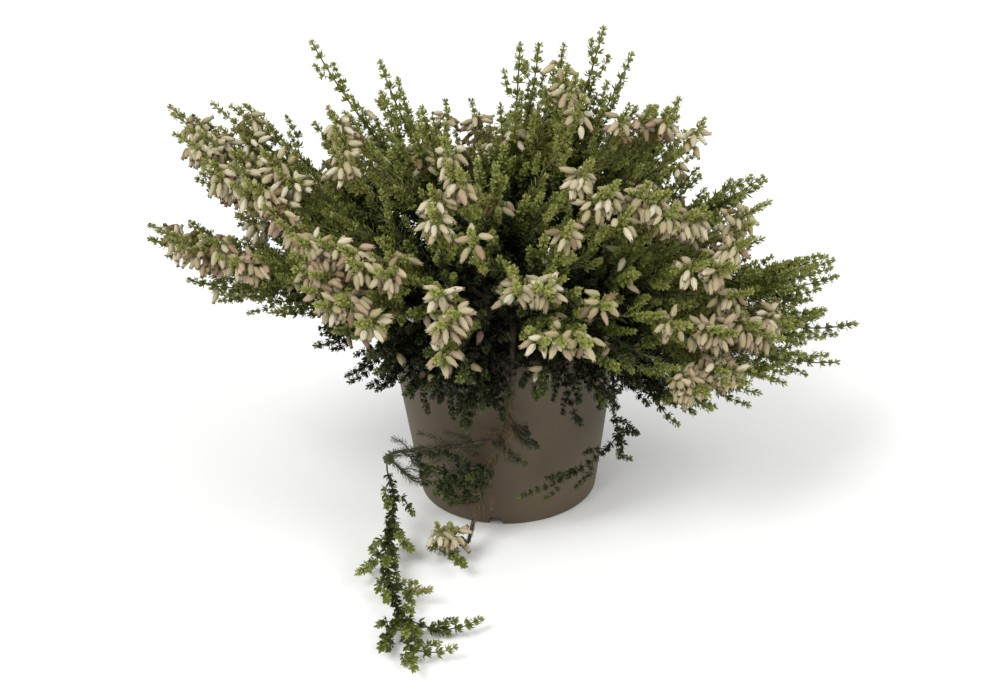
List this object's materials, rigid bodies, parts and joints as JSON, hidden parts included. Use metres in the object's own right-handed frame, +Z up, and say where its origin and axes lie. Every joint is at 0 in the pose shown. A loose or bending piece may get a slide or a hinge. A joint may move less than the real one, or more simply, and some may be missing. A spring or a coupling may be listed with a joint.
{
  "type": "potted bell heather",
  "caption": "Low domed heather bush with needle-leaved shoots and drooping pale bell flowers, in a plain tapered pot, with shoots trailing over the rim onto the surface in front.",
  "frame": {"origin": "centre of the pot's flat underside, on the surface that it stands on", "axes": "+Z up along the pot's axis; -Y to the front, where the trailing shoots lie; +X to the right seen from the front"},
  "size_m": [0.3383, 0.2937, 0.2314],
  "materials": {
    "pot_plastic": "plain dark taupe moulded plastic, matte",
    "soil": "dark crumbly peat",
    "bark": "thin dark brown bark with fine lengthwise ridges",
    "shoots": "fine green needles and cream to pinkish bells"
  },
  "bodies": {
    "root": {"pot": "pot_plastic", "soil": "soil", "stock": "bark", "left_low_bough": "bark", "right_low_bough": "bark", "right_front_low_bough": "bark", "front_right_low_bough": "bark", "front_left_low_bough": "bark", "left_front_low_bough": "bark", "back_left_low_bough": "bark", "back_low_bough": "bark", "back_right_low_bough": "bark", "left_high_bough": "bark", "right_up_bough": "bark", "right_front_bough": "bark", "front_mid_bough": "bark", "left_front_bough": "bark", "back_left_bough": "bark", "back_mid_bough": "bark", "back_right_bough": "bark", "tall_left_bough": "bark", "spike_left_bough": "bark", "lean_right_bough": "bark", "right_top_bough": "bark", "front_up_bough": "bark", "back_up_bough": "bark", "middle_top_bough": "bark", "trailing_stem_over_rim": "bark", "trailing_stem_down_wall": "bark", "left_trailing_stem": "bark", "right_trailing_stem": "bark", "left_low": "shoots", "right_low": "shoots", "right_front_low": "shoots", "front_right_low": "shoots", "front_left_low": "shoots", "left_front_low": "shoots", "back_left_low": "shoots", "back_low": "shoots", "back_right_low": "shoots", "left_high": "shoots", "right_up": "shoots", "right_front": "shoots", "front_mid": "shoots", "left_front": "shoots", "back_left": "shoots", "back_mid": "shoots", "back_right": "shoots", "tall_left": "shoots", "spike_left": "shoots", "lean_right": "shoots", "right_top": "shoots", "front_up": "shoots", "back_up": "shoots", "middle_top": "shoots", "left_trail": "shoots", "foot_flowers": "shoots", "wall_spray": "shoots", "right_trail": "shoots"}
  },
  "joints": []
}
